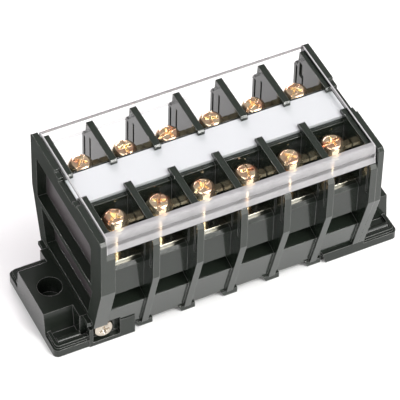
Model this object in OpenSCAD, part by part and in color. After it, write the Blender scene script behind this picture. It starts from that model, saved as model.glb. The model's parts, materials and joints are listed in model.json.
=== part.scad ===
// Barrier terminal strip: six identical pole mouldings and two end blocks stand on a steel
// rail between two screw-down feet. Each pole has a conductor bar with a captive, self-lifting
// clamp screw at the front and the back. A white marking strip and a clear cover close the top.
// Millimetres, +Z up, origin in the middle of the base. The front is -Y.

/* [Row] */
// Distance from one pole to the next
pitch = 15; // [13.5:0.5:19]
// Thickness of a barrier between two poles
barrier_t = 2.25; // [1.5:0.25:2.75]
// Thickness of the outer end walls
end_wall_t = 2; // [1.5:0.1:3]
// Thickness of the inner wall that closes the first pole on the left
inner_wall_t = 2.8; // [2:0.1:4]

/* [Walls] */
// Half depth of the barriers and end walls
wall_y = 26.4; // [25:0.1:33]
// Height of the barrier tops
barrier_top = 54.2; // [51:0.1:66]
// Height at which the walls start to lean inwards
kink_z = 31.5; // [28:0.5:33]
// Half depth of the walls at their lower edge
base_y = 18.15; // [17:0.05:19]
// Height of the lower edge of the mouldings
base_z = 2.2; // [2:0.1:3]

/* [Conductor bars] */
// Height of the seat that carries the conductor bars
bar_z = 34; // [33:0.1:36]
// Thickness of a conductor bar
bar_t = 1; // [0.8:0.1:1.5]
// Half length of a conductor bar
bar_y = 17.9; // [17:0.1:18.5]

/* [Clamp screws of the poles] */
// Distance of the screws from the middle plane
screw_y = 12.6; // [12.4:0.1:13.2]
// Thread diameter
screw_d = 4; // [3:0.5:4.5]
// Head diameter
head_d = 8; // [7:0.1:8.6]
// Height of the head
head_h = 2.9; // [2.2:0.1:3.2]
// Thickness of the captive lift washer
washer_t = 1.8; // [1:0.1:2]
// Radial clearance of a screw in its washer and its conductor bar
screw_gap = 0.1; // [0.05:0.01:0.1]

/* [Marking strip and cover] */
// Half width of the marking strip
strip_y = 6.2; // [5.6:0.1:6.2]
// Thickness of the marking strip
strip_t = 1.1; // [0.8:0.1:1.2]
// Wall thickness of the clear cover
cover_t = 1.2; // [1:0.1:1.4]
// Height of the cover's lips below its top plate
lip_h = 5.8; // [5:0.1:7]

/* [Feet and rail] */
// Length of a foot outside the end wall
foot_l = 12.6; // [12:0.1:16]
// Half depth of a foot
foot_y = 18.6; // [18:0.1:20]
// Thickness of the base plate of a foot
foot_t = 3; // [2.5:0.1:3.5]
// Height of the screw boss of a foot
boss_h = 12; // [11:0.5:14]
// Diameter of the mounting holes
hole_d = 4.5; // [4:0.1:5.5]
// Half width of the steel rail inside
rail_y = 11; // [10:0.5:11]
// Thread diameter of the screws that clamp the rail
clamp_d = 3.5; // [3:0.5:4]

/* [Hidden] */
poles = 6;
$fn = 48;

// Clearance of a sliding or loose fit, and what a cutter overshoots by
fit = 0.1;
eps = 0.02;

// Clearance of the cover and the bevel along its top edges
cover_gap = 0.3;
cover_bevel = 0.5;

// Row, along X
row_half = (inner_wall_t + poles * pitch) / 2;
outer_x = row_half + end_wall_t;
stack_x = -row_half + inner_wall_t;
bay_w = pitch - barrier_t;
screw_shift = -0.25;
function pole_x(i) = stack_x + (i - 1) * pitch;
function screw_x(i) = pole_x(i) + bay_w / 2 + screw_shift;

// Walls, in the YZ plane
lean = (wall_y - base_y) / (kink_z - base_z);
function lean_y(z) = wall_y - max(0, kink_z - z) * lean;
ledge_z = barrier_top - 6;
ledge_y = wall_y - 2.4;
ledge_slope = [0.8, 1.6];
top_draft = 0.7;
strip_z = barrier_top - 2.8;
hook_y = strip_y - 1.6;
hook_bevel = 0.6;
strip_end = 1.4;
strip_tab = strip_y - 1.35;
end_top = barrier_top + 0.4;
end_bevel = 1;
notch_z = strip_z + 1;
notch_y = strip_y - 0.9;
notch_step = [3, 1];

// Upright grooves near both ends of a barrier's left face: distance from the barrier's end
// and from its top
groove_w = 1;
groove_t = 0.5;
groove_places = [[1.9, 7], [6.2, 4.2]];
// Slot over the inner groove of the last barrier
slot_w = 3;
slot_low = 9.8;

// Raised frame of an end wall and what it leaves sunk
sunk_left = 3.3;
sunk_right = 1;
panel_low_z = boss_h + 1.4;
panel_mid_z = kink_z - 4.5;
window_z = kink_z - 2.3;
window_top = barrier_top - 7.4;
window_corner = 1;
window_front = wall_y - 7.7;
window_back = wall_y - 4;
panel_low_y = [base_y - 2.15, base_y + 1.45];

// Bays below the conductor bars
bevel = 1;
panel_y = bar_y + 0.9 + bevel;
recess_top = 21.8;
recess_z = 17;
recess_y = 16.5;
recess_fall = 1;
recess_lip = [0.2, 0.6];
panel_inset = 1.1;
core_y = strip_y + 1.6;
hole_bottom = 22;
hole_gap = 0.4;
collar_d = screw_d + 2.4;
collar_h = 2.4;
collar_gap = 0.2;

// Raised clamp screws
washer_top = barrier_top - 7.2;
screw_l = washer_top - bar_z - 0.2;
screw_tip = 0.8;
tip_taper = 0.7;
washer_w = head_d + 0.6;
ear_w = 2.6;
ear_gap = 0.15;
ear_step = 0.4;

// Rail
rail_t = 1.5;
rail_h = 5.8;
rail_bevel = 0.8;
rail_z = base_z + 1.2;
rail_x = row_half + 0.6;
rail_end = 0.8;
rail_mouth = rail_y - 1.7;

// Cross feet
cross_bevel = 1;
cross_left = 0.6;
cross_right = 4.1;
cross_y = base_y - 0.55;

// Feet
foot_in = pole_x(poles - 1) + bay_w + cross_right + 0.25;
tray_x = outer_x + foot_l;
hole_x = outer_x + 6;
sink_d = hole_d + 3.5;
sink_z = 5;
corner_r = 1.8;
rim_in = 0.8;
rim_w = 1.1;
rim_h = 1.3;
rib_r = 1.5;
rib_y = foot_y - 3.6;
rib_x = 2.2;
rib_end = 2.6;
boss_y = [11, 10];
step_x = 2.6;
step_y = 15.35;
tab_x = 1.6;
tab_y = [15.4, 19.2];
front_wall_y = foot_y + 0.4;
front_wall_h = 8;
front_wall_x = 0.8;
back_strip_h = 4.3;
back_strip_lean = 1.2;
pad_z = base_z - fit;
clamp_x = row_half - 2.3;
clamp_z = 5.8;
clamp_gap = 0.5;
clamp_touch = 0.05;
clamp_seat_y = 16.9;
clamp_head_d = 7;
clamp_head_h = 2.1;
pocket_low = 1.7;
pocket_left = 0.4;
pocket_right = 5.4;
nut_w = 6;
nut_t = 2.4;
housing_y = 13.2;
housing_h = 9.6;
housing_l = 8.2;

// A closed outline from the points of its +Y half, listed from the bottom to the top
function both_sides(half) = concat(half, [for (k = [len(half) - 1:-1:0]) [-half[k][0], half[k][1]]]);

// An outline in Y and Z drawn out along X from x0 to x1
module along_x(x0, x1, outline)
    translate([x0, 0, 0])
        rotate([90, 0, 90])
            linear_extrude(x1 - x0)
                polygon(outline);

// A box from its lowest to its highest corner
module block(low, high)
    translate(low)
        cube(high - low);

// Outline of a barrier: leaning foot, ledge for the cover's lip, and the two hooks that
// reach over the marking strip
barrier_half = [
    [base_y, base_z],
    [wall_y, kink_z],
    [wall_y, ledge_z - ledge_slope[1]],
    [wall_y - ledge_slope[0], ledge_z],
    [ledge_y, ledge_z],
    [ledge_y - top_draft, barrier_top],
    [hook_y + hook_bevel, barrier_top],
    [hook_y, barrier_top - hook_bevel],
    [hook_y, strip_z + strip_t + fit],
    [strip_y + fit, strip_z + strip_t + fit],
    [strip_y + fit, strip_z]
];

// Outline of what fills a bay below the conductor bar
bay_half = [
    [lean_y(base_z) - panel_inset, base_z],
    [lean_y(recess_z) - panel_inset, recess_z],
    [recess_y, recess_z + recess_fall],
    [recess_y, recess_top - recess_lip[1]],
    [panel_y - recess_lip[0], recess_top],
    [panel_y, bar_z - bevel],
    [panel_y - bevel, bar_z]
];

// Outline of an outer end wall
end_half = [
    [base_y, base_z],
    [wall_y, kink_z],
    [wall_y, end_top - end_bevel],
    [wall_y - end_bevel, end_top],
    [notch_y + notch_step[0], end_top],
    [notch_y + notch_step[0], end_top - notch_step[1]],
    [notch_y, end_top - notch_step[1]],
    [notch_y, notch_z]
];

// What the left foot and its clamp screw take out of the mouldings above it
module foot_clearance() {
    x0 = -outer_x - 1;
    y0 = wall_y;
    block([x0, -y0, -1], [-foot_in + fit, -clamp_seat_y + fit, front_wall_h + fit]);
    block([x0, clamp_seat_y - fit, -1], [-foot_in + fit, y0, back_strip_h + fit]);
    block([x0, -clamp_seat_y - fit, -1], [-outer_x + housing_l + fit, -housing_y + fit, housing_h + fit]);
    block([x0, -y0, 0], [-clamp_x + pocket_right, -clamp_seat_y + fit, housing_h + fit]);
    translate([-clamp_x, -rail_y, clamp_z])
        rotate([90, 0, 0])
            cylinder(d = clamp_d + 2 * clamp_gap, h = front_wall_y - rail_y);
}

// Tunnel that the rail slides through, open at the bottom between two hooks
module rail_tunnel(x0, x1) {
    block([x0, -rail_y - 2 * fit, rail_z - fit], [x1, rail_y + 2 * fit, rail_z + rail_h + 2 * fit]);
    block([x0, -rail_mouth, base_z - 1], [x1, rail_mouth, rail_z]);
}

// Small cross foot under a barrier
module cross_foot(x)
    translate([0, cross_y, 0])
        rotate([90, 0, 0])
            linear_extrude(2 * cross_y)
                polygon([[x - cross_left - cross_bevel, base_z], [x - cross_left, 0],
                         [x + cross_right, 0], [x + cross_right, base_z]]);

// Upright grooves in the left face of the barrier at x
module barrier_grooves(x)
    for (place = groove_places, turn = [0, 180])
        translate([x, 0, 0])
            rotate([0, 0, turn])
                block([-groove_t, wall_y - place[0] - groove_w / 2, bar_z + bar_t],
                      [groove_t, wall_y - place[0] + groove_w / 2, barrier_top - place[1]]);

// Wider slot over the inner groove at the back
module barrier_slot(x)
    block([x - groove_t, wall_y - groove_places[1][0] - groove_w / 2, barrier_top - slot_low],
          [x + groove_t, wall_y - groove_places[1][0] - groove_w / 2 + slot_w,
           barrier_top - groove_places[1][1] + groove_w / 2]);

// One pole: barrier on its right, bay body, middle wall, and the holes for the screw tips
module pole_module(i) {
    x0 = pole_x(i);
    x1 = x0 + bay_w;
    color([0.13, 0.14, 0.13])
    difference() {
        union() {
            along_x(x1, x0 + pitch, both_sides(barrier_half));
            along_x(x0, x1 + eps, both_sides(bay_half));
            block([x0, -core_y, bar_z - 1], [x1 + eps, core_y, strip_z]);
            if (i < poles)
                cross_foot(x1);
        }
        block([x0 - eps, -bar_y - fit, bar_z], [x1, bar_y + fit, bar_z + bar_t + fit]);
        rail_tunnel(x0 - 1, x0 + pitch + 1);
        barrier_grooves(x1);
        for (side = [-1, 1])
            translate([screw_x(i), side * screw_y, 0]) {
                translate([0, 0, hole_bottom])
                    cylinder(d = screw_d + 2 * hole_gap, h = bar_z - hole_bottom + 1);
                translate([0, 0, bar_z - collar_h - fit])
                    cylinder(d = collar_d + 2 * collar_gap, h = collar_h + 1);
            }
        if (i == 1)
            foot_clearance();
        if (i == poles) {
            barrier_slot(x1);
            rotate([0, 0, 180])
                foot_clearance();
        }
    }
}

// Conductor bar of one pole, with a threaded collar drawn down at each end
module conductor_bar(i) {
    x0 = pole_x(i);
    color([0.78, 0.77, 0.73])
    difference() {
        union() {
            block([x0 + fit, -bar_y, bar_z], [x0 + bay_w - fit, bar_y, bar_z + bar_t]);
            for (side = [-1, 1])
                translate([screw_x(i), side * screw_y, bar_z - collar_h])
                    cylinder(d = collar_d, h = collar_h + eps);
        }
        for (side = [-1, 1])
            translate([screw_x(i), side * screw_y, bar_z - collar_h - 1])
                cylinder(d = screw_d + 2 * screw_gap, h = collar_h + bar_t + 2);
    }
}

// Lift washer: a round pressure plate with two ears that run along the barriers
module lift_washer(i, side) {
    x0 = pole_x(i);
    color([0.80, 0.70, 0.42])
    translate([0, side * screw_y, washer_top - washer_t])
        difference() {
            union() {
                translate([screw_x(i), 0, 0])
                    cylinder(d = washer_w, h = washer_t);
                block([x0 + ear_gap, -ear_w / 2, ear_step], [x0 + bay_w - ear_gap, ear_w / 2, washer_t]);
            }
            translate([screw_x(i), 0, -1])
                cylinder(d = screw_d + 2 * screw_gap, h = washer_t + 2);
        }
}

// Pan head with a cross recess and a slot, standing on z = 0
module pan_head(d, h, slot) {
    rim = 0.32 * h;
    flat = 0.42;
    steps = 6;
    wing = [0.29 * d, 0.085 * d, 0.42 * h];
    cut = [d, 0.06 * d, 0.72 * h];
    difference() {
        rotate_extrude()
            polygon(concat([[0, 0], [d / 2, 0], [d / 2, rim]],
                [for (k = [1:steps]) let (a = 90 * k / steps)
                    [d / 2 * (flat + (1 - flat) * cos(a)), rim + (h - rim) * sin(a)]],
                [[0, h]]));
        for (turn = [0, 90])
            rotate([0, 0, turn])
                block([-wing[0], -wing[1], wing[2]], [wing[0], wing[1], h + 1]);
        if (slot)
            block([-cut[0], -cut[1], cut[2]], [cut[0], cut[1], h + 1]);
    }
}

// Clamp screw of a pole, in its raised position
module terminal_screw(i, side)
    color([0.84, 0.68, 0.36])
    translate([screw_x(i), side * screw_y, washer_top]) {
        pan_head(head_d, head_h, true);
        translate([0, 0, -screw_l])
            cylinder(d = screw_d, h = screw_l + eps);
        translate([0, 0, -screw_l - screw_tip])
            cylinder(d1 = screw_d - 2 * tip_taper, d2 = screw_d, h = screw_tip + eps / 10);
    }

// Outer end wall with its raised frame and two sunk panels; the left one also closes the
// first bay
module end_block(sunk, x_in) {
    color([0.13, 0.14, 0.13])
    difference() {
        union() {
            along_x(-outer_x, -row_half, both_sides(end_half));
            if (x_in > -row_half)
                along_x(-row_half - eps, x_in, both_sides(barrier_half));
            for (side = [-1, 1])
                block([-outer_x - tab_x, side > 0 ? tab_y[0] : -tab_y[1], boss_h - tab_x],
                      [-outer_x + eps, side > 0 ? tab_y[1] : -tab_y[0], boss_h]);
        }
        along_x(-outer_x - eps, -outer_x + sunk,
                [[-window_front, window_z], [window_back, window_z], [window_back, window_top],
                 [window_corner - window_front, window_top], [-window_front, window_top - window_corner]]);
        along_x(-outer_x - eps, -outer_x + sunk,
                both_sides([[panel_low_y[0], panel_low_z], [panel_low_y[1], panel_mid_z]]));
        along_x(-row_half - rail_end, x_in + 1,
                both_sides([[rail_mouth, base_z - 1], [rail_mouth, rail_z - fit],
                            [rail_y + 2 * fit, rail_z - fit],
                            [rail_y + 2 * fit, rail_z + rail_h + 2 * fit]]));
        foot_clearance();
    }
}

// Foot at the left end: tray with a rim and two half-round ribs, boss with the mounting hole,
// pads under the end block and the first pole, and the housing of the clamp screw and its nut
module foot() {
    color([0.12, 0.13, 0.12])
    difference() {
        union() {
            linear_extrude(foot_t)
                foot_outline(0);
            linear_extrude(foot_t + rim_h)
                difference() {
                    foot_outline(rim_in);
                    foot_outline(rim_in + rim_w);
                }
            for (side = [-1, 1])
                translate([-tray_x + rib_x, side * rib_y, foot_t])
                    rotate([0, 90, 0])
                        cylinder(r = rib_r, h = foot_l - rib_x - rib_end);
            along_x(-tray_x, -outer_x - step_x + eps,
                    both_sides([[boss_y[0], foot_t - eps], [boss_y[1], boss_h]]));
            block([-outer_x - step_x, -step_y, foot_t - eps], [-outer_x, step_y, boss_h]);
            block([-outer_x - eps, -clamp_seat_y, 0], [-foot_in, clamp_seat_y, pad_z]);
            block([-outer_x - front_wall_x, -front_wall_y, 0],
                  [-foot_in, -clamp_seat_y + eps, front_wall_h]);
            block([-outer_x, -clamp_seat_y, 0], [-outer_x + housing_l, -housing_y, housing_h]);
            translate([0, foot_y, 0])
                rotate([90, 0, 0])
                    linear_extrude(foot_y - clamp_seat_y + eps)
                        polygon([[-outer_x - eps, 0], [-foot_in - back_strip_lean, 0],
                                 [-foot_in, back_strip_h], [-outer_x - eps, back_strip_h]]);
        }
        translate([-hole_x, 0, -1])
            cylinder(d = hole_d, h = boss_h + 2);
        translate([-hole_x, 0, sink_z])
            cylinder(d = sink_d, h = boss_h);
        block([-outer_x + pocket_left, -front_wall_y - 1, pocket_low],
              [-clamp_x + pocket_right, -clamp_seat_y, front_wall_h + 1]);
        translate([-clamp_x, -housing_y + 1, clamp_z])
            rotate([90, 0, 0])
                cylinder(d = clamp_d + clamp_gap, h = front_wall_y - housing_y);
        block([-clamp_x - nut_w / 2 - fit, -housing_y - nut_t - 2 * fit, clamp_z - nut_w / 2 - fit],
              [-clamp_x + nut_w / 2 + fit, -housing_y + 1, housing_h + 1]);
    }
}

// Outline of the tray of a foot, moved inwards by a step
module foot_outline(step) {
    r = corner_r - step / 2;
    x0 = -tray_x + step;
    y0 = foot_y - step;
    union() {
        translate([x0 + r, -y0])
            square([foot_l - step - r, 2 * y0]);
        translate([x0, -y0 + r])
            square([r + 1, 2 * (y0 - r)]);
        for (side = [-1, 1])
            translate([x0 + r, side * (y0 - r)])
                circle(r);
    }
}

// Steel rail: a channel with its open side down
module mounting_rail()
    color([0.70, 0.71, 0.72])
    along_x(-rail_x, rail_x, both_sides([
        [rail_y - rail_t, rail_z + rail_h - rail_t],
        [rail_y - rail_t, rail_z],
        [rail_y, rail_z],
        [rail_y, rail_z + rail_h - rail_bevel],
        [rail_y - rail_bevel, rail_z + rail_h]
    ]));

// Screw that clamps the rail in the left foot, its axis along Y and its head at the front
module clamp_screw()
    color([0.86, 0.84, 0.76])
    translate([-clamp_x, -clamp_seat_y, clamp_z])
        rotate([90, 0, 0]) {
            pan_head(clamp_head_d, clamp_head_h, false);
            translate([0, 0, rail_y - clamp_seat_y + clamp_touch])
                cylinder(d = clamp_d, h = clamp_seat_y - rail_y - clamp_touch + eps);
        }

// Square nut of a clamp screw
module clamp_nut()
    color([0.75, 0.74, 0.70])
    difference() {
        block([-clamp_x - nut_w / 2, -housing_y - nut_t - fit, clamp_z - nut_w / 2],
              [-clamp_x + nut_w / 2, -housing_y - fit, clamp_z + nut_w / 2]);
        translate([-clamp_x, -housing_y + 1, clamp_z])
            rotate([90, 0, 0])
                cylinder(d = clamp_d + 2 * screw_gap, h = nut_t + 3);
    }

// White marking strip under the hooks of the barriers, with a narrower tab at each end
module marking_strip()
    color([0.95, 0.95, 0.95])
    translate([0, 0, strip_z])
        union() {
            block([-row_half + strip_end, -strip_y, 0], [row_half - strip_end, strip_y, strip_t]);
            block([-row_half + fit, -strip_tab, 0], [row_half - fit, strip_tab, strip_t]);
        }

// Clear cover: a top plate with a slightly splayed lip along the front and the back
module cover()
    color([0.85, 0.88, 0.90, 0.4])
    along_x(-row_half + cover_gap, row_half - cover_gap, both_sides([
        [ledge_y - top_draft + cover_gap, barrier_top],
        [ledge_y + cover_gap, barrier_top - lip_h],
        [ledge_y + cover_gap + cover_t, barrier_top - lip_h],
        [ledge_y + cover_gap + cover_t - top_draft, barrier_top + cover_t - cover_bevel],
        [ledge_y + cover_t - 2 * (cover_bevel - fit), barrier_top + cover_t]
    ]));

for (i = [1:poles]) {
    pole_module(i);
    conductor_bar(i);
    lift_washer(i, -1);
    lift_washer(i, 1);
    terminal_screw(i, -1);
    terminal_screw(i, 1);
}
end_block(sunk_left, stack_x);  // end_block_left
rotate([0, 0, 180]) end_block(sunk_right, -row_half);  // end_block_right
foot();  // foot_left
rotate([0, 0, 180]) foot();  // foot_right
mounting_rail();
marking_strip();
cover();
clamp_screw();  // clamp_screw_left
rotate([0, 0, 180]) clamp_screw();  // clamp_screw_right
clamp_nut();  // clamp_nut_left
rotate([0, 0, 180]) clamp_nut();  // clamp_nut_right
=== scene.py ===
import json
import math
import bpy
import bmesh
from mathutils import Matrix, Vector


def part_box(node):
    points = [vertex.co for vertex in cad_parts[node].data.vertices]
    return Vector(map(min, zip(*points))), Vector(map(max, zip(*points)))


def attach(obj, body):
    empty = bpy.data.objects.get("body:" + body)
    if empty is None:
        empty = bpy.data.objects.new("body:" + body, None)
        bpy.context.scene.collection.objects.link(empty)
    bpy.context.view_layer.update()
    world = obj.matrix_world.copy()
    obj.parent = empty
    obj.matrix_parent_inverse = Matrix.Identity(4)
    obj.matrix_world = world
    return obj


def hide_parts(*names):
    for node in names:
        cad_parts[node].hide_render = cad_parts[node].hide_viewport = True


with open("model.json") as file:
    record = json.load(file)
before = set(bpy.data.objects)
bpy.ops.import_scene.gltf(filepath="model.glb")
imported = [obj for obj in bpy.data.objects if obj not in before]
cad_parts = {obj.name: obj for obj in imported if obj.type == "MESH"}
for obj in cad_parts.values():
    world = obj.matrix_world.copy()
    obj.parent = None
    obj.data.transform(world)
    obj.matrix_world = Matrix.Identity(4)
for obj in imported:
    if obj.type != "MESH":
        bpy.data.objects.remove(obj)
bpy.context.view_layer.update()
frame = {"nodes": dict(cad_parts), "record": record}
nodes = frame["nodes"]
mm = 0.001


def newMaterial(name):
    mat = bpy.data.materials.new(name)
    mat.use_nodes = True
    mat.node_tree.nodes.clear()
    return mat


def addNode(tree, kind, x=0, y=0, **values):
    node = tree.nodes.new(kind)
    node.location = (x, y)
    for key, value in values.items():
        setattr(node, key, value)
    return node


def setInputs(node, **values):
    for key, value in values.items():
        node.inputs[key.replace("_", " ")].default_value = value
    return node


def link(tree, source, target):
    tree.links.new(source, target)


def mathNode(tree, kind, a, b=None, c=None, x=0, y=0, clamp=False):
    node = addNode(tree, "ShaderNodeMath", x, y, operation=kind, use_clamp=clamp)
    for k, value in enumerate((a, b, c)):
        if value is None:
            continue
        if isinstance(value, (int, float)):
            node.inputs[k].default_value = value
        else:
            link(tree, value, node.inputs[k])
    return node.outputs[0]


def below(tree, value, limit, x=0, y=0):
    return mathNode(tree, "LESS_THAN", value, limit, x=x, y=y)


def above(tree, value, limit, x=0, y=0):
    return mathNode(tree, "GREATER_THAN", value, limit, x=x, y=y)


def both(tree, a, b, x=0, y=0):
    return mathNode(tree, "MULTIPLY", a, b, x=x, y=y)


def mixColour(tree, factor, a, b, x=0, y=0):
    node = addNode(tree, "ShaderNodeMix", x, y, data_type="RGBA")
    for socket, value in ((node.inputs[0], factor), (node.inputs[6], a), (node.inputs[7], b)):
        if isinstance(value, (int, float)):
            socket.default_value = value
        elif isinstance(value, tuple):
            socket.default_value = (*value, 1)
        else:
            link(tree, value, socket)
    return node.outputs[2]


cameraSet = {
    "azimuth": -26.907,     # degrees, to the left of straight ahead
    "elevation": 47.053,
    "roll": 1.462,
    "distance": 0.95494,
    "aim": (0.0, 0.0, 0.020),
    "slide": (0.001658, -0.005036),   # how far the aim sits right of and above the view's centre
    "lens": 269.3,
}


def makeCamera(s):
    a, e = math.radians(s["azimuth"]), math.radians(s["elevation"])
    back = Vector((math.sin(a) * math.cos(e), -math.cos(a) * math.cos(e), math.sin(e)))
    level = Vector((math.cos(a), math.sin(a), 0))
    roll = math.radians(s["roll"])
    right = level * math.cos(roll) + back.cross(level) * math.sin(roll)
    up = back.cross(right)
    data = bpy.data.cameras.new("studioCamera")
    data.lens = s["lens"]
    data.sensor_width = 36
    camera = bpy.data.objects.new("studioCamera", data)
    place = Vector(s["aim"]) + back * s["distance"] - right * s["slide"][0] - up * s["slide"][1]
    camera.matrix_world = Matrix.Translation(place) @ Matrix((right, up, back)).transposed().to_4x4()
    bpy.context.scene.collection.objects.link(camera)
    bpy.context.scene.camera = camera


studioSet = {
    "floorHalf": 3.0,
    "floorColour": (0.93, 0.93, 0.93),
    "roomLight": 0.42,          # what glossy and matt faces see above the floor
    "lamps": {                  # place, aim, size, power in watts, colour
        "frontKey": ((0.35, -0.76, 0.86), (0, 0, 0), (0.28, 0.28), 4.5, (1.0, 1.0, 0.97)),
        "topSoft": ((0.36, -0.45, 1.15), (0, 0, 0), (0.9, 0.7), 9, (1.0, 1.0, 1.0)),
        "rightSoft": ((1.1, -0.55, 0.9), (0, 0, 0), (0.8, 0.8), 4, (1.0, 1.0, 1.0)),
        "leftSoft": ((-0.75, -0.40, 1.0), (0, 0, 0), (0.8, 0.8), 5, (1.0, 0.98, 0.99)),
        "backSoft": ((0.25, 1.40, 0.66), (0, 0, 0), (0.7, 0.6), 17, (1.0, 0.90, 0.95)),
        "leftRim": ((-0.90, 0.76, 0.40), (0, 0, 0), (0.14, 0.14), 2, (1.0, 0.97, 0.98)),
        "frontLow": ((0.35, -1.25, 0.26), (0, 0, 0.02), (1.3, 0.4), 7, (1.0, 0.99, 0.95)),
    },
}


def makeFloor(s):
    mesh = bpy.data.meshes.new("floor")
    h = s["floorHalf"]
    mesh.from_pydata([(-h, -h, 0), (h, -h, 0), (h, h, 0), (-h, h, 0)], [], [(0, 1, 2, 3)])
    floor = bpy.data.objects.new("floor", mesh)
    bpy.context.scene.collection.objects.link(floor)
    mat = newMaterial("paleFloor")
    t = mat.node_tree
    bsdf = addNode(t, "ShaderNodeBsdfPrincipled", 0, 0)
    setInputs(bsdf, Base_Color=(*s["floorColour"], 1), Roughness=0.9)
    bsdf.inputs["Specular IOR Level"].default_value = 0.0
    out = addNode(t, "ShaderNodeOutputMaterial", 300, 0)
    link(t, bsdf.outputs[0], out.inputs[0])
    floor.data.materials.append(mat)


def makeLight(s):
    world = bpy.data.worlds.new("studio")
    world.use_nodes = True
    t = world.node_tree
    room = t.nodes["Background"]
    setInputs(room, Color=(1, 1, 1, 1), Strength=s["roomLight"])
    seen = addNode(t, "ShaderNodeBackground", 0, -200)
    setInputs(seen, Color=(1, 1, 1, 1), Strength=1.0)
    ray = addNode(t, "ShaderNodeLightPath", -200, 200)
    mix = addNode(t, "ShaderNodeMixShader", 200, 0)
    link(t, ray.outputs["Is Camera Ray"], mix.inputs[0])
    link(t, room.outputs[0], mix.inputs[1])
    link(t, seen.outputs[0], mix.inputs[2])
    link(t, mix.outputs[0], t.nodes["World Output"].inputs[0])
    bpy.context.scene.world = world
    for name, (place, aim, size, power, colour) in s["lamps"].items():
        data = bpy.data.lights.new(name, "AREA")
        data.shape = "RECTANGLE"
        data.size, data.size_y = size
        data.energy = power
        data.color = colour
        lamp = bpy.data.objects.new(name, data)
        lamp.location = place
        lamp.rotation_euler = (Vector(aim) - Vector(place)).to_track_quat("-Z", "Y").to_euler()
        bpy.context.scene.collection.objects.link(lamp)
    scene = bpy.context.scene
    scene.view_settings.view_transform = "Standard"
    scene.cycles.use_denoising = True


def newGroup(name, inputs, outputs):
    group = bpy.data.node_groups.new(name, "ShaderNodeTree")
    for label, kind, value in inputs:
        socket = group.interface.new_socket(label, in_out="INPUT", socket_type=kind)
        socket.default_value = value
    for label, kind in outputs:
        group.interface.new_socket(label, in_out="OUTPUT", socket_type=kind)
    return group, addNode(group, "NodeGroupInput", -1200, 0), addNode(group, "NodeGroupOutput", 900, 0)


def placeGroup(tree, group, x, y, **values):
    node = addNode(tree, "ShaderNodeGroup", x, y, node_tree=group)
    setInputs(node, **values)
    return node


def makeSurfaceGroup():
    # fine grain and a slow waviness of a moulded or plated skin: a height and a 0-1 blotch mask
    g, gin, gout = newGroup("skinDetail",
                            [("Grain Scale", "NodeSocketFloat", 3000.0),
                             ("Blotch Scale", "NodeSocketFloat", 120.0),
                             ("Blotch Weight", "NodeSocketFloat", 0.4)],
                            [("Height", "NodeSocketFloat"), ("Blotch", "NodeSocketFloat")])
    place = addNode(g, "ShaderNodeTexCoord", -1000, 200)
    grain = addNode(g, "ShaderNodeTexNoise", -600, 200)
    setInputs(grain, Detail=3.0, Roughness=0.6)
    blotch = addNode(g, "ShaderNodeTexNoise", -600, -100)
    setInputs(blotch, Detail=2.0, Roughness=0.5)
    for node, label in ((grain, "Grain Scale"), (blotch, "Blotch Scale")):
        link(g, place.outputs["Object"], node.inputs["Vector"])
        link(g, gin.outputs[label], node.inputs["Scale"])
    slow = mathNode(g, "MULTIPLY", blotch.outputs[0], gin.outputs["Blotch Weight"], x=-200, y=-100)
    link(g, mathNode(g, "ADD", grain.outputs[0], slow, x=0, y=100), gout.inputs["Height"])
    spread = addNode(g, "ShaderNodeMapRange", -100, -300)
    setInputs(spread, From_Min=0.35, From_Max=0.65)
    link(g, blotch.outputs[0], spread.inputs["Value"])
    link(g, spread.outputs[0], gout.inputs["Blotch"])
    return g


def makeBrushGroup():
    # fine lines along one axis, as a drawn or tumbled metal has
    g, gin, gout = newGroup("brushLines",
                            [("Stretch", "NodeSocketVector", (1.0, 1.0, 1.0)),
                             ("Scale", "NodeSocketFloat", 900.0)],
                            [("Height", "NodeSocketFloat"), ("Mask", "NodeSocketFloat")])
    place = addNode(g, "ShaderNodeTexCoord", -1000, 200)
    turn = addNode(g, "ShaderNodeVectorMath", -800, 100, operation="MULTIPLY")
    link(g, place.outputs["Object"], turn.inputs[0])
    link(g, gin.outputs["Stretch"], turn.inputs[1])
    noise = addNode(g, "ShaderNodeTexNoise", -500, 100)
    setInputs(noise, Detail=4.0, Roughness=0.65)
    link(g, turn.outputs[0], noise.inputs["Vector"])
    link(g, gin.outputs["Scale"], noise.inputs["Scale"])
    link(g, noise.outputs[0], gout.inputs["Height"])
    spread = addNode(g, "ShaderNodeMapRange", -100, -100)
    setInputs(spread, From_Min=0.3, From_Max=0.7)
    link(g, noise.outputs[0], spread.inputs["Value"])
    link(g, spread.outputs[0], gout.inputs["Mask"])
    return g


def makeEdgeGroup():
    # 1 along rounded edges, 0 on faces, from how far the softened normal leans from the true one; it places
    # the painted edge highlight
    g, gin, gout = newGroup("edgeGlintMask", [("Softened", "NodeSocketVector", (0.0, 0.0, 1.0)),
                                         ("Gain", "NodeSocketFloat", 6.0)],
                            [("Mask", "NodeSocketFloat")])
    true = addNode(g, "ShaderNodeNewGeometry", -900, -100)
    dot = addNode(g, "ShaderNodeVectorMath", -600, 0, operation="DOT_PRODUCT")
    link(g, gin.outputs["Softened"], dot.inputs[0])
    link(g, true.outputs["True Normal"], dot.inputs[1])
    lean = mathNode(g, "SUBTRACT", 1.0, dot.outputs["Value"], x=-300)
    link(g, mathNode(g, "MULTIPLY", lean, gin.outputs["Gain"], x=0, clamp=True), gout.inputs["Mask"])
    return g


skinDetail = makeSurfaceGroup()
brushLines = makeBrushGroup()
edgeGlintMask = makeEdgeGroup()


def objectSplit(tree):
    place = addNode(tree, "ShaderNodeTexCoord", -1800, 0)
    split = addNode(tree, "ShaderNodeSeparateXYZ", -1600, 0)
    link(tree, place.outputs["Object"], split.inputs[0])
    return split.outputs


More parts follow.
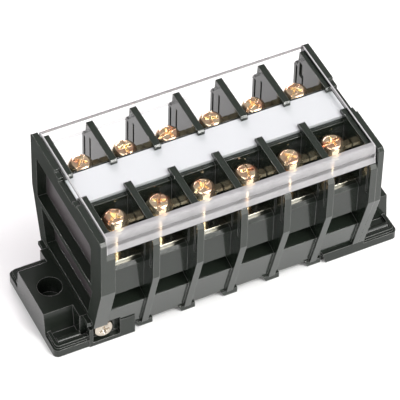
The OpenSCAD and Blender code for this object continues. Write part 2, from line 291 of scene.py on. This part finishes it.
def finishMaterial(tree, bsdf, height, strength, depth, radius):
    bump = addNode(tree, "ShaderNodeBump", -300, -500)
    setInputs(bump, Strength=strength, Distance=depth)
    link(tree, height, bump.inputs["Height"])
    if radius:
        rounded = addNode(tree, "ShaderNodeBevel", -600, -600, samples=6)
        rounded.inputs["Radius"].default_value = radius
        link(tree, rounded.outputs[0], bump.inputs["Normal"])
    link(tree, bump.outputs[0], bsdf.inputs["Normal"])
    out = addNode(tree, "ShaderNodeOutputMaterial", 400, 0)
    link(tree, bsdf.outputs[0], out.inputs[0])


plasticSet = {
    # the edge colour in each set is a pale grey painted along rounded edges as a highlight
    "body": {"colour": (0.0135, 0.0180, 0.0135), "paintedEdgeGlint": (0.26, 0.26, 0.25), "roughness": (0.10, 0.17),
             "edge": 0.00028, "ior": 1.52,
             "endWall": (0.0448, 0.04835),    # distances from the middle of the sunk panels and of the rim
             "matt": 0.60, "rimShine": 0.12,
             # panel: lilac-grey painted on the outward sunk panels as a reflection of the pale floor
             "panel": (0.050, 0.042, 0.045), "panelMatt": 0.34, "grainDepth": 9.0},
    "foot": {"colour": (0.0140, 0.0175, 0.0140), "paintedEdgeGlint": (0.34, 0.33, 0.325), "roughness": (0.12, 0.20),
             "edge": 0.00030, "ior": 1.42},
}


def mouldedPlastic(name, s):
    # glossy black thermoset with a painted highlight along rounded edges; an end wall's raised rim is matt,
    # and its sunk panels are grained and tinted lilac-grey as a painted reflection
    frosted = s.get("endWall")
    mat = newMaterial(name)
    t = mat.node_tree
    bsdf = addNode(t, "ShaderNodeBsdfPrincipled", 0, 0)
    setInputs(bsdf, IOR=s["ior"])
    skin = placeGroup(t, skinDetail, -1200, 0, Grain_Scale=2600.0, Blotch_Scale=90.0, Blotch_Weight=0.25)
    rounded = addNode(t, "ShaderNodeBevel", -1400, -700, samples=6)
    rounded.inputs["Radius"].default_value = s["edge"]
    edgeMask = placeGroup(t, edgeGlintMask, -1100, -700, Gain=3.5)
    link(t, rounded.outputs[0], edgeMask.inputs["Softened"])
    # painted highlight: a pale grey laid along the rounded edges, broken up by the blotches
    patchy = mathNode(t, "MULTIPLY_ADD", skin.outputs["Blotch"], 0.7, 0.3, x=-900, y=-500)
    glintAmount = mathNode(t, "MULTIPLY", edgeMask.outputs["Mask"], patchy, x=-800, y=-600)
    colour = mixColour(t, glintAmount, s["colour"], s["paintedEdgeGlint"], -300, 200)
    low, high = s["roughness"]
    rough = mathNode(t, "MULTIPLY_ADD", skin.outputs["Blotch"], high - low, low, x=-600, y=0)
    height = skin.outputs["Height"]
    if frosted:
        xyz = objectSplit(t)
        depth = mathNode(t, "ABSOLUTE", xyz["X"], x=-1400, y=200)
        side = addNode(t, "ShaderNodeNewGeometry", -1600, 500)
        facing = addNode(t, "ShaderNodeSeparateXYZ", -1400, 500)
        link(t, side.outputs["True Normal"], facing.inputs[0])
        sign = mathNode(t, "SIGN", xyz["X"], x=-1400, y=600)
        outward = above(t, both(t, facing.outputs["X"], sign, -1200, 500), 0.9, -1000, 500)
        wall = both(t, outward, above(t, depth, frosted[0], -1200, 200), -800, 300)
        rim = both(t, wall, above(t, depth, frosted[1], -1200, 50), -600, 300)
        panel = mathNode(t, "SUBTRACT", wall, rim, x=-400, y=300)
        sparks = addNode(t, "ShaderNodeTexNoise", -1200, 800)
        setInputs(sparks, Scale=1500.0, Detail=3.0, Roughness=0.7)
        coords = addNode(t, "ShaderNodeTexCoord", -1500, 900)
        link(t, coords.outputs["Object"], sparks.inputs["Vector"])
        rough = mathNode(t, "MULTIPLY_ADD", rim, s["matt"], rough, x=-400, y=100)
        rough = mathNode(t, "MULTIPLY_ADD", panel, s["panelMatt"], rough, x=-200, y=100)
        grained = both(t, panel, sparks.outputs[0], -200, 500)
        # painted reflection: outward-facing sunk panels take the lilac-grey tint in place of the floor they
        # mirror
        colour = mixColour(t, panel, colour, s["panel"], 100, 300)
        shine = mathNode(t, "MULTIPLY_ADD", rim, s["rimShine"] - 0.5, 0.5, x=-100, y=700)
        link(t, shine, bsdf.inputs["Specular IOR Level"])
        height = mathNode(t, "MULTIPLY_ADD", grained, s["grainDepth"], height, x=0, y=500)
    link(t, colour, bsdf.inputs["Base Color"])
    link(t, rough, bsdf.inputs["Roughness"])
    finishMaterial(t, bsdf, height, 0.12, 0.00004, s["edge"])
    return mat


metalSet = {
    "rail": {"colour": (0.62, 0.63, 0.64), "dull": (0.40, 0.41, 0.43), "roughness": (0.22, 0.34),
             "stretch": (0.05, 1.0, 1.0), "scale": 1200.0, "edge": 0.00015},
    "bar": {"colour": (0.80, 0.77, 0.68), "dull": (0.52, 0.47, 0.34), "roughness": (0.06, 0.14),
            "stretch": (1.0, 0.08, 1.0), "scale": 700.0, "edge": 0.00025},
    "washer": {"colour": (0.86, 0.76, 0.52), "dull": (0.50, 0.30, 0.15), "roughness": (0.08, 0.18),
               "stretch": (1.0, 1.0, 1.0), "scale": 500.0, "edge": 0.0003},
    # screw: the up-facing tone darkens the top of each head toward the dull copper as painted shade
    "screw": {"colour": (1.0, 0.88, 0.62), "dull": (0.62, 0.27, 0.16), "roughness": (0.09, 0.17),
              "stretch": (1.0, 1.0, 1.0), "scale": 300.0, "edge": 0.00022, "metal": 0.92, "paintedTopShade": 0.30},
    "clamp": {"colour": (0.66, 0.60, 0.52), "dull": (0.34, 0.26, 0.19), "roughness": (0.10, 0.20),
              "stretch": (1.0, 1.0, 1.0), "scale": 500.0, "edge": 0.00022},
}


def platedMetal(name, s):
    mat = newMaterial(name)
    t = mat.node_tree
    bsdf = addNode(t, "ShaderNodeBsdfPrincipled", 0, 0)
    setInputs(bsdf, Metallic=s.get("metal", 1.0))
    brush = placeGroup(t, brushLines, -1200, 0, Stretch=s["stretch"], Scale=s["scale"])
    skin = placeGroup(t, skinDetail, -1200, -300, Grain_Scale=4000.0, Blotch_Scale=260.0, Blotch_Weight=0.6)
    tone = mathNode(t, "MULTIPLY", brush.outputs["Mask"], skin.outputs["Blotch"], x=-800, y=100)
    if "paintedTopShade" in s:
        # painted shade: faces of a head that look up are pushed toward the darker copper tone, while the
        # sides keep the pale cream
        side = addNode(t, "ShaderNodeNewGeometry", -1400, 400)
        facing = addNode(t, "ShaderNodeSeparateXYZ", -1200, 400)
        link(t, side.outputs["Normal"], facing.inputs[0])
        up = addNode(t, "ShaderNodeMapRange", -1000, 400)
        setInputs(up, From_Min=0.35, From_Max=0.85)
        link(t, facing.outputs["Z"], up.inputs["Value"])
        tone = mathNode(t, "MULTIPLY_ADD", up.outputs[0], s["paintedTopShade"], tone, x=-600, y=300, clamp=True)
    link(t, mixColour(t, tone, s["colour"], s["dull"], -400, 200), bsdf.inputs["Base Color"])
    low, high = s["roughness"]
    rough = mathNode(t, "MULTIPLY_ADD", brush.outputs["Mask"], high - low, low, x=-600, y=-100)
    link(t, rough, bsdf.inputs["Roughness"])
    finishMaterial(t, bsdf, brush.outputs["Height"], 0.15, 0.00005, s["edge"])
    return mat


stripSet = {"colour": (0.520, 0.535, 0.550), "shade": (0.480, 0.495, 0.510), "edge": 0.0003}


def stripPlastic(name, s):
    mat = newMaterial(name)
    t = mat.node_tree
    bsdf = addNode(t, "ShaderNodeBsdfPrincipled", 0, 0)
    skin = placeGroup(t, skinDetail, -1000, 0, Grain_Scale=2200.0, Blotch_Scale=60.0, Blotch_Weight=0.5)
    tone = mathNode(t, "MULTIPLY", skin.outputs["Blotch"], 0.35, x=-700, y=100)
    link(t, mixColour(t, tone, s["colour"], s["shade"], -400, 200), bsdf.inputs["Base Color"])
    rough = mathNode(t, "MULTIPLY_ADD", skin.outputs["Blotch"], 0.12, 0.36, x=-500, y=-100)
    link(t, rough, bsdf.inputs["Roughness"])
    finishMaterial(t, bsdf, skin.outputs["Height"], 0.10, 0.00004, s["edge"])
    return mat


coverSet = {
    "clear": 0.012,
    "frontBand": (-0.0229, 0.50),    # y below which the front of the sheet is pale and partly opaque, and how much
    "bandGap": (0.0509, 0.0523),     # heights of the clear line between the two pale bands
    "rim": (0.0240, 0.0535, 0.75),  # depth and height from which the back edge gets a painted grey line
    "lipLine": (0.0486, 0.30),       # height below which the lower edge of the back lip gets the painted grey line
    "endX": 0.0457,
    # opacity of the pale painted shine on the cut ends
    "endPaintedShine": 0.85,
    "paleTone": (0.47, 0.46, 0.47),
    # grey painted on the back edge lines
    "edgePaintedGrey": (0.20, 0.185, 0.19),
}


def clearCover(name, s):
    # clear sheet: pale part-opaque bands at the front lip, painted grey lines at the back one, and painted
    # shine on the cut ends
    mat = newMaterial(name)
    t = mat.node_tree
    bsdf = addNode(t, "ShaderNodeBsdfPrincipled", 0, 0)
    setInputs(bsdf, IOR=1.49)
    xyz = objectSplit(t)
    skin = placeGroup(t, skinDetail, -1200, -700, Grain_Scale=900.0, Blotch_Scale=220.0, Blotch_Weight=0.8)
    gap = both(t, above(t, xyz["Z"], s["bandGap"][0], -1200, -200),
               below(t, xyz["Z"], s["bandGap"][1], -1200, -300), -1000, -250)
    front = both(t, below(t, xyz["Y"], s["frontBand"][0], -1200, 0),
                 mathNode(t, "SUBTRACT", 1.0, gap, x=-900, y=-250), -800, -100)
    frontOpacity = mathNode(t, "MULTIPLY_ADD", skin.outputs["Blotch"], 0.08, s["frontBand"][1], x=-800, y=-500)
    rim = both(t, above(t, xyz["Y"], s["rim"][0], -1200, 300),
               above(t, xyz["Z"], s["rim"][1], -1200, 400), -1000, 300)
    lip = both(t, above(t, xyz["Y"], 0, -1200, 500),
               below(t, xyz["Z"], s["lipLine"][0], -1200, 600), -1000, 500)
    end = above(t, mathNode(t, "ABSOLUTE", xyz["X"], x=-1400, y=700), s["endX"], -1200, 700)
    alpha = s["clear"]
    parts = ((front, frontOpacity), (rim, s["rim"][2]), (lip, s["lipLine"][1]), (end, s["endPaintedShine"]))
    for k, (mask, weight) in enumerate(parts):
        part = both(t, mask, weight, -600, -300 + 300 * k)
        alpha = mathNode(t, "MAXIMUM", part, alpha, x=-400 + 100 * k, y=0)
    link(t, alpha, bsdf.inputs["Alpha"])
    # painted grey lines on the back edges and painted shine on the cut ends stand in for the light the
    # sheet's edges catch
    grey = mathNode(t, "MAXIMUM", rim, lip, x=-600, y=900)
    tone = mixColour(t, grey, s["paleTone"], s["edgePaintedGrey"], -400, 800)
    clearOnly = mathNode(t, "LESS_THAN", alpha, 0.05, x=-200, y=400)
    link(t, mixColour(t, clearOnly, tone, (0.01, 0.01, 0.01), -200, 700), bsdf.inputs["Base Color"])
    link(t, mathNode(t, "MULTIPLY_ADD", front, 0.25, 0.05, x=-400, y=-300), bsdf.inputs["Roughness"])
    finishMaterial(t, bsdf, skin.outputs["Height"], 0.08, 0.00003, 0)
    return mat


def meshObject(name, mesh):
    piece = bpy.data.objects.new(name, mesh)
    bpy.context.scene.collection.objects.link(piece)
    return piece


def revolve(bm, profile, steps, centre=(0, 0, 0)):
    # profile of (radius, height) pairs turned about Z; a radius of 0 closes the form
    rings = []
    for r, z in profile:
        if r == 0:
            rings.append([bm.verts.new((centre[0], centre[1], centre[2] + z))])
        else:
            rings.append([bm.verts.new((centre[0] + r * math.cos(2 * math.pi * k / steps),
                                        centre[1] + r * math.sin(2 * math.pi * k / steps),
                                        centre[2] + z)) for k in range(steps)])
    for low, high in zip(rings, rings[1:]):
        for k in range(steps):
            j = (k + 1) % steps
            if len(low) == 1:
                bm.faces.new((low[0], high[j], high[k]))
            elif len(high) == 1:
                bm.faces.new((low[k], low[j], high[0]))
            else:
                bm.faces.new((low[k], low[j], high[j], high[k]))


def wedge(bm, halfLong, halfWide, bottom, top, taper, turn):
    # one bar of a cutter: wide at the top and narrower at the bottom
    corners = []
    for z, t in ((bottom, taper), (top, 1.0)):
        for x, y in ((-halfLong * t, -halfWide * t), (halfLong * t, -halfWide * t),
                     (halfLong * t, halfWide * t), (-halfLong * t, halfWide * t)):
            corners.append(bm.verts.new((x * math.cos(turn) - y * math.sin(turn),
                                         x * math.sin(turn) + y * math.cos(turn), z)))
    for face in ((3, 2, 1, 0), (4, 5, 6, 7), (0, 1, 5, 4), (1, 2, 6, 5), (2, 3, 7, 6), (3, 0, 4, 7)):
        bm.faces.new([corners[k] for k in face])


def bmeshObject(name, build):
    bm = bmesh.new()
    build(bm)
    bmesh.ops.recalc_face_normals(bm, faces=bm.faces)
    mesh = bpy.data.meshes.new(name)
    bm.to_mesh(mesh)
    bm.free()
    return meshObject(name, mesh)


def applied(piece):
    # the evaluated piece as a plain mesh, with its modifiers gone
    bpy.context.view_layer.update()
    graph = bpy.context.evaluated_depsgraph_get()
    mesh = bpy.data.meshes.new_from_object(piece.evaluated_get(graph))
    piece.modifiers.clear()
    piece.data = mesh
    return piece


def panHead(name, s):
    # domed head with a rolled rim; the recess is cut by tapered bars
    r, h = s["headD"] / 2 - s["inset"], s["headH"] - s["inset"]
    rim = 0.32 * s["headH"]

    def build(bm):
        profile = [(0, 0.0), (r - 0.12, 0.0), (r, 0.12), (r, rim)]
        for k in range(1, 9):
            a = math.pi / 2 * k / 8
            rise = 0.86 * math.sin(a) + 0.14 * k / 8
            profile.append((r * (0.62 + 0.38 * math.cos(a)), rim + (h - rim) * rise))
        profile.append((0, h))
        revolve(bm, [(q * mm, z * mm) for q, z in profile], 64)

    head = bmeshObject(name, build)
    cutters = []
    for k, (long, wide, deep, taper, turn) in enumerate(s["cuts"]):
        cutters.append(bmeshObject(name + "Cut%d" % k, lambda bm: wedge(
            bm, long * mm, wide * mm, (h - deep) * mm, (h + 1) * mm, taper, turn)))
    for cutter in cutters:
        cut = head.modifiers.new("recess", "BOOLEAN")
        cut.object = cutter
        cut.operation = "DIFFERENCE"
        cut.solver = "EXACT"
    soft = head.modifiers.new("softEdges", "BEVEL")
    soft.width = s["edge"] * mm
    soft.segments = 3
    soft.limit_method = "ANGLE"
    soft.angle_limit = math.radians(28)
    soft.harden_normals = False
    applied(head)
    for cutter in cutters:
        bpy.data.objects.remove(cutter)
    return head


def threadTree():
    # Geometry Nodes: a core and a helical ridge along -Z, from the given sizes
    tree = bpy.data.node_groups.new("screwThread", "GeometryNodeTree")
    tree.interface.new_socket("Geometry", in_out="INPUT", socket_type="NodeSocketGeometry")
    for label, value in (("Radius", 0.002), ("Pitch", 0.0007), ("Length", 0.0125), ("Ridge", 0.00022)):
        socket = tree.interface.new_socket(label, in_out="INPUT", socket_type="NodeSocketFloat")
        socket.default_value = value
    tree.interface.new_socket("Finish", in_out="INPUT", socket_type="NodeSocketMaterial")
    tree.interface.new_socket("Geometry", in_out="OUTPUT", socket_type="NodeSocketGeometry")
    gin, gout = addNode(tree, "NodeGroupInput", -900, 0), addNode(tree, "NodeGroupOutput", 900, 0)
    turns = mathNode(tree, "DIVIDE", gin.outputs["Length"], gin.outputs["Pitch"], x=-700, y=200)
    spiral = addNode(tree, "GeometryNodeCurveSpiral", -400, 200)
    spiral.inputs["Resolution"].default_value = 20
    root = mathNode(tree, "SUBTRACT", gin.outputs["Radius"], gin.outputs["Ridge"], x=-700, y=0)
    link(tree, turns, spiral.inputs["Rotations"])
    link(tree, root, spiral.inputs["Start Radius"])
    link(tree, root, spiral.inputs["End Radius"])
    link(tree, gin.outputs["Length"], spiral.inputs["Height"])
    ridge = addNode(tree, "GeometryNodeCurvePrimitiveCircle", -400, -100)
    ridge.inputs["Resolution"].default_value = 5
    link(tree, gin.outputs["Ridge"], ridge.inputs["Radius"])
    sweep = addNode(tree, "GeometryNodeCurveToMesh", -100, 200)
    sweep.inputs["Fill Caps"].default_value = True
    link(tree, spiral.outputs[0], sweep.inputs["Curve"])
    link(tree, ridge.outputs[0], sweep.inputs["Profile Curve"])
    core = addNode(tree, "GeometryNodeMeshCylinder", -400, -400)
    core.inputs["Vertices"].default_value = 32
    link(tree, root, core.inputs["Radius"])
    link(tree, gin.outputs["Length"], core.inputs["Depth"])
    lift = addNode(tree, "GeometryNodeTransform", -100, -300)
    half = mathNode(tree, "MULTIPLY", gin.outputs["Length"], 0.5, x=-400, y=-600)
    place = addNode(tree, "ShaderNodeCombineXYZ", -250, -500)
    link(tree, half, place.inputs["Z"])
    link(tree, core.outputs["Mesh"], lift.inputs["Geometry"])
    link(tree, place.outputs[0], lift.inputs["Translation"])
    join = addNode(tree, "GeometryNodeJoinGeometry", 150, 0)
    link(tree, sweep.outputs[0], join.inputs[0])
    link(tree, lift.outputs[0], join.inputs[0])
    whole = addNode(tree, "GeometryNodeRealizeInstances", 350, 0)
    link(tree, join.outputs[0], whole.inputs[0])
    paint = addNode(tree, "GeometryNodeSetMaterial", 600, 0)
    link(tree, whole.outputs[0], paint.inputs["Geometry"])
    link(tree, gin.outputs["Finish"], paint.inputs["Material"])
    link(tree, paint.outputs[0], gout.inputs[0])
    return tree


def shankMesh(tree, s, finish):
    holder = meshObject("threadHolder", bpy.data.meshes.new("threadHolder"))
    mod = holder.modifiers.new("thread", "NODES")
    mod.node_group = tree
    values = {"Radius": s["threadD"] / 2 * mm, "Pitch": s["pitch"] * mm, "Length": s["length"] * mm,
              "Ridge": s["ridge"] * mm, "Finish": finish}
    for item in tree.interface.items_tree:
        if item.in_out == "INPUT" and item.name in values:
            mod[item.identifier] = values[item.name]
    applied(holder)
    return holder


screwSet = {
    "headD": 8.0, "headH": 2.9, "inset": 0.02, "edge": 0.10,
    "cuts": ((4.6, 0.5, 0.9, 1.0, math.radians(38)), (2.7, 0.72, 1.9, 0.42, math.radians(38)),
             (2.7, 0.72, 1.9, 0.42, math.radians(128))),
    "threadD": 3.9, "pitch": 0.7, "length": 12.6, "ridge": 0.2,
}


def joinMeshes(name, pieces, offsets):
    bm = bmesh.new()
    for piece, move in zip(pieces, offsets):
        part = bmesh.new()
        part.from_mesh(piece.data)
        bmesh.ops.transform(part, matrix=move, verts=part.verts)
        mesh = bpy.data.meshes.new("tmp")
        part.to_mesh(mesh)
        part.free()
        bm.from_mesh(mesh)
        bpy.data.meshes.remove(mesh)
    mesh = bpy.data.meshes.new(name)
    bm.to_mesh(mesh)
    bm.free()
    return mesh


def shadeSmooth(mesh, angle):
    mesh.shade_smooth()
    mesh.set_sharp_from_angle(angle=math.radians(angle))


def paint(mesh, finish):
    mesh.materials.clear()
    mesh.materials.append(finish)
    for face in mesh.polygons:
        face.material_index = 0
    shadeSmooth(mesh, 35)


def makeTerminalScrews(s, finish):
    head = panHead("screwHead", s)
    tree = threadTree()
    shank = shankMesh(tree, s, finish)
    master = joinMeshes("terminalScrew", (head, shank),
                        (Matrix.Identity(4), Matrix.Translation((0, 0, -s["length"] * mm + 0.0002))))
    for piece in (head, shank):
        bpy.data.objects.remove(piece)
    turns = (0, 24, -13, 41, 8, -30, 17, 50, -22, 33, -6, 12)
    k = 0
    for side in ("front", "back"):
        for i in range(1, 7):
            node = "terminal_screw_%s_%d" % (side, i)
            low, high = (Vector(c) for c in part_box(node))
            seat = Vector(((low.x + high.x) / 2, (low.y + high.y) / 2, high.z - s["headH"] * mm))
            mesh = master.copy()
            mesh.transform(Matrix.Translation(seat) @ Matrix.Rotation(math.radians(turns[k]), 4, "Z"))
            paint(mesh, finish)
            piece = meshObject("screw_%s_%d" % (side, i), mesh)
            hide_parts(node)
            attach(piece, "screw_%s_%d" % (side, i))
            k += 1
    print("terminal screws made")


clampSet = {
    "headD": 7.0, "headH": 2.1, "inset": 0.02, "edge": 0.10,
    "cuts": ((2.4, 0.62, 1.35, 0.45, math.radians(10)), (2.4, 0.62, 1.35, 0.45, math.radians(100))),
    "threadD": 3.4, "pitch": 0.6, "length": 5.8, "ridge": 0.18,
}


def makeClampScrews(s, finish):
    head = panHead("clampHead", s)
    for side, turn in (("left", 90), ("right", -90)):
        node = "clamp_screw_" + side
        low, high = (Vector(c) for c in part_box(node))
        outer = low.y if side == "left" else high.y
        sign = -1 if side == "left" else 1
        seat = Vector(((low.x + high.x) / 2, outer - sign * s["headH"] * mm, (low.z + high.z) / 2))
        shankLength = high.y - low.y - s["headH"] * mm
        sizes = dict(s, length=shankLength / mm + 0.15)
        shank = shankMesh(bpy.data.node_groups["screwThread"], sizes, finish)
        sink = Matrix.Translation((0, 0, -sizes["length"] * mm + 0.00015))
        mesh = joinMeshes(node, (head, shank), (Matrix.Identity(4), sink))
        bpy.data.objects.remove(shank)
        mesh.transform(Matrix.Translation(seat) @ Matrix.Rotation(math.radians(turn), 4, "X"))
        paint(mesh, finish)
        piece = meshObject("clamp_head_" + side, mesh)
        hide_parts(node)
        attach(piece, "clamp_" + side)
    bpy.data.objects.remove(head)
    print("clamp screws made")


print("frame loaded, %d CAD nodes" % len(nodes))
makeCamera(cameraSet)
makeFloor(studioSet)
makeLight(studioSet)
finishes = {
    "body_plastic": mouldedPlastic("mouldedBlack", plasticSet["body"]),
    "foot_plastic": mouldedPlastic("footBlack", plasticSet["foot"]),
    "rail_steel": platedMetal("railZinc", metalSet["rail"]),
    "bar_plating": platedMetal("barNickel", metalSet["bar"]),
    "washer_plating": platedMetal("washerChromate", metalSet["washer"]),
    "screw_plating": platedMetal("screwChromate", metalSet["screw"]),
    "strip_white": stripPlastic("stripWhite", stripSet),
    "cover_clear": clearCover("coverClear", coverSet),
    "clamp_zinc": platedMetal("clampZinc", metalSet["clamp"]),
}
slotOf = {p["node"]: p["material_slot"] for p in frame["record"]["subparts"]}
for name, obj in nodes.items():
    obj.data.materials.clear()
    obj.data.materials.append(finishes[slotOf[name]])
print("finishes set")
makeTerminalScrews(screwSet, finishes["screw_plating"])
makeClampScrews(clampSet, finishes["clamp_zinc"])

print("scene finished")
